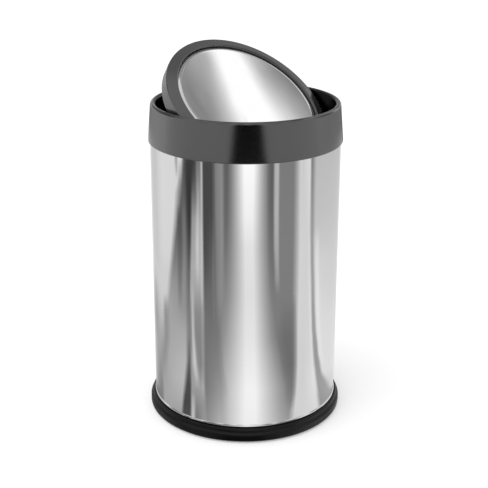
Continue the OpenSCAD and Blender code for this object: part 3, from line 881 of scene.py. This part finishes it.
def on_lid(radius, angle, rise):
    """A point in the lid's own frame, turned open about the pins."""
    flat = Vector((radius * math.cos(angle), radius * math.sin(angle), rise))
    return Matrix.Rotation(LID_TILT, 4, "X") @ flat + Vector((0, 0, PIVOT_Z))


def plate_profile():
    """The plate's section from the middle of its face, over its rolled bevel, and back under it."""
    face = (0.0, 0.02, PLATE_FLAT_R - PLATE_T, PLATE_FLAT_R)
    path = [(r, PLATE_RISE) for r in face]
    end = PLATE_R - PLATE_EDGE_R * (1 - math.sin(PLATE_EDGE_TILT))
    wide = (end - PLATE_FLAT_R) / PLATE_BEVEL_STEPS
    for i in range(PLATE_BEVEL_STEPS):
        r, h = path[-1]
        path.append((r + wide, h - wide * math.tan(PLATE_EDGE_TILT * (i + 0.5) / PLATE_BEVEL_STEPS)))
    r, h = path[-1]
    centre = (r - PLATE_EDGE_R * math.sin(PLATE_EDGE_TILT), h - PLATE_EDGE_R * math.cos(PLATE_EDGE_TILT))
    for i in range(1, PLATE_EDGE_STEPS + 1):
        tilt = PLATE_EDGE_TILT + (math.pi / 2 - PLATE_EDGE_TILT) * i / PLATE_EDGE_STEPS
        path.append((centre[0] + PLATE_EDGE_R * math.sin(tilt), centre[1] + PLATE_EDGE_R * math.cos(tilt)))
    inner_r = PLATE_R - PLATE_T
    under = PLATE_RISE - PLATE_T
    path += [
        (PLATE_R, PLATE_FOOT), (inner_r, PLATE_FOOT), (inner_r, centre[1] - PLATE_T / 2),
        (inner_r - PLATE_T, centre[1]), (PLATE_FLAT_R, under), (0.0, under),
    ]
    return path


def turned_mesh(name, path, sides, at):
    """A closed solid of revolution. The path starts and ends on the axis."""
    shape = bmesh.new()
    first = shape.verts.new(at(0.0, 0.0, path[0][1]))
    last = shape.verts.new(at(0.0, 0.0, path[-1][1]))
    rings = []
    for r, h in path[1:-1]:
        rings.append([shape.verts.new(at(r, math.tau * i / sides, h)) for i in range(sides)])
    for i in range(sides):
        j = (i + 1) % sides
        shape.faces.new((first, rings[0][i], rings[0][j]))
        for upper, lower in zip(rings, rings[1:]):
            shape.faces.new((upper[i], lower[i], lower[j], upper[j]))
        shape.faces.new((last, rings[-1][j], rings[-1][i]))
    bmesh.ops.recalc_face_normals(shape, faces=shape.faces)
    mesh = bpy.data.meshes.new(name)
    shape.to_mesh(mesh)
    shape.free()
    mesh.shade_smooth()
    mesh.set_sharp_from_angle(angle=PLATE_CREASE)
    return mesh


def make_plate(material):
    """The lid's polished disc, with the rolled bevel that catches the light all round it."""
    mesh = turned_mesh("lid_disc", plate_profile(), PLATE_SIDES, on_lid)
    mesh.materials.append(material)
    disc = bpy.data.objects.new("lid_disc", mesh)
    bpy.context.scene.collection.objects.link(disc)
    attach(disc, "lid")
    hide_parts("lid_plate")


def screw_profile(shank_r, shank_h, head_r, head_h):
    """The screw's section from the edge of its flat face to the tip of its shank."""
    path = []
    for i in range(HEAD_EDGE_STEPS + 1):
        turn = math.pi / 2 * i / HEAD_EDGE_STEPS
        r = head_r - HEAD_EDGE_R * (1 - math.sin(turn))
        path.append((r, HEAD_EDGE_R * (1 - math.cos(turn)) - head_h))
    return path + [(head_r, 0.0), (shank_r, 0.0), (shank_r, shank_h - shank_r), (0.0, shank_h)]


def cross_outline(arm, half):
    """The twelve corners of a cross, in order round it."""
    corners = []
    for quarter in range(4):
        c, s = math.cos(math.pi / 2 * quarter), math.sin(math.pi / 2 * quarter)
        for x, y in ((half, half), (arm, half), (arm, -half)):
            corners.append((x * c + y * s, y * c - x * s))
    return corners


def add_screw(shape, middle, seat, turn, sizes):
    """A closed pan-head screw with a cross recess in the lid's frame, its head downwards from its seat."""
    shank_r, shank_h, head_r, head_h, arm, half, depth = sizes

    def vert(x, y, h):
        a = middle[0] + x * math.cos(turn) - y * math.sin(turn)
        b = middle[1] + x * math.sin(turn) + y * math.cos(turn)
        return shape.verts.new(on_lid(math.hypot(a, b), math.atan2(b, a), seat + h))

    path = screw_profile(shank_r, shank_h, head_r, head_h)
    spokes = [math.tau * i / SCREW_SIDES for i in range(SCREW_SIDES)]
    rings = [[vert(r * math.cos(a), r * math.sin(a), h) for a in spokes] for r, h in path[:-1]]
    tip = vert(0.0, 0.0, path[-1][1])
    cross = cross_outline(arm, half)
    mouth = [vert(x, y, -head_h) for x, y in cross]
    well = [vert(x * RECESS_TAPER, y * RECESS_TAPER, depth - head_h) for x, y in cross]
    for i in range(SCREW_SIDES):
        j = (i + 1) % SCREW_SIDES
        for lower, upper in zip(rings, rings[1:]):
            shape.faces.new((lower[i], lower[j], upper[j], upper[i]))
        shape.faces.new((rings[-1][i], rings[-1][j], tip))
    for i in range(len(cross)):
        j = (i + 1) % len(cross)
        shape.faces.new((mouth[i], mouth[j], well[j], well[i]))
    shape.faces.new(well)
    rims = []
    for loop in (rings[0], mouth):
        for i, start in enumerate(loop):
            end = loop[(i + 1) % len(loop)]
            rims.append(shape.edges.get((start, end)) or shape.edges.new((start, end)))
    bmesh.ops.triangle_fill(shape, edges=rims, use_beauty=True)


def screw_piece(name, node_name, places, seat, sizes, material):
    """Screws that stand for a CAD node, as one piece that rides the lid."""
    shape = bmesh.new()
    for middle, turn in places:
        add_screw(shape, middle, seat, turn, sizes)
    bmesh.ops.recalc_face_normals(shape, faces=shape.faces)
    mesh = bpy.data.meshes.new(name)
    shape.to_mesh(mesh)
    shape.free()
    mesh.shade_smooth()
    mesh.set_sharp_from_angle(angle=SCREW_CREASE)
    mesh.materials.append(material)
    screws = bpy.data.objects.new(name, mesh)
    bpy.context.scene.collection.objects.link(screws)
    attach(screws, "lid")
    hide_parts(node_name)


def make_screws(material):
    """The cover's four screws, each turned its own way, and the one that holds the weight."""
    places = []
    for i, turn in enumerate(COVER_SCREW_TURNS):
        angle = math.radians(45 + 90 * i)
        middle = (COVER_SCREW_RING * math.cos(angle), COVER_SCREW_RING * math.sin(angle))
        places.append((middle, turn))
    screw_piece("cover_screws", "lid_screws", places, COVER_SCREW_SEAT, COVER_SCREW, material)
    places = [((0.0, 0.0), WEIGHT_SCREW_TURN)]
    screw_piece("weight_screw", "counterweight_screw", places, WEIGHT_SCREW_SEAT, WEIGHT_SCREW, material)


def dress(nodes):
    """Every piece's finish, and the pieces that stand for CAD nodes."""
    around = (18, 18, 5200)
    up_slope = (4200, 30, 30)
    paint(nodes, ["body_shell"], polished_steel("polished_steel_drum", around, dull_and_shaded_within=DRUM_SKIN_R))
    make_plate(polished_steel("polished_steel_plate", up_slope, (LID_TILT, 0, 0.2), rough=(0.025, 0.05)))
    paint(nodes, ["floor_pan"], mill_steel("mill_steel"))
    skin = {"coat": (0.13, 1.87), "matt_within": MOUTH_SKIN_R}
    paint(nodes, ["collar"], moulded("gloss_black_collar", GLOSS_BLACK, 0.20, 900.0, **skin))
    paint(nodes, ["lid_rim"], moulded("gloss_black_plastic", RIM_BLACK, 0.32, 900.0, coat=(0.20, 1.8)))
    paint(nodes, ["base_ring"], moulded("satin_black_foot", FOOT_BLACK, 0.36, 1400.0, shine=0.28))
    paint(nodes, ["lid_under_cover"], moulded("satin_black_plastic", COVER_BLACK, 0.30, 1400.0))
    bearing = moulded("bearing_plastic", BEARING_WHITE, 0.38, 1100.0)
    paint(nodes, ["pivot_bush_left", "pivot_bush_right"], bearing)
    paint(nodes, ["foot_pad_1", "foot_pad_2", "foot_pad_3", "foot_pad_4"], rubber("pad_rubber"))
    pins = turned_steel("turned_steel", 0.58, 0.24, (2600, 40, 40))
    paint(nodes, ["pivot_pin_left", "pivot_pin_right"], pins)
    paint(nodes, ["counterweight"], turned_steel("cast_weight_steel", 0.42, 0.42, (500, 500, 60)))
    make_screws(turned_steel("zinc_plated_steel", 0.60, 0.30, (900, 900, 900)))


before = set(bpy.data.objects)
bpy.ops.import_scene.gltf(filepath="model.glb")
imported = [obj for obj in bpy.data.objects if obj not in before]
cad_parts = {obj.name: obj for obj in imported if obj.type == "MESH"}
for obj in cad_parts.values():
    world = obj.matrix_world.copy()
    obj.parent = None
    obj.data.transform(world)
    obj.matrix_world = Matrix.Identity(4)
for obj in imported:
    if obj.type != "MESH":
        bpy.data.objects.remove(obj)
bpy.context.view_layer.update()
CARD = card_material()
make_camera()
make_world()
make_floor()
make_lamp()
make_drum_cards()
make_collar_cards()
make_lid_cards()
make_sky_card()
dress(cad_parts)
bpy.context.scene.view_settings.view_transform = "Standard"
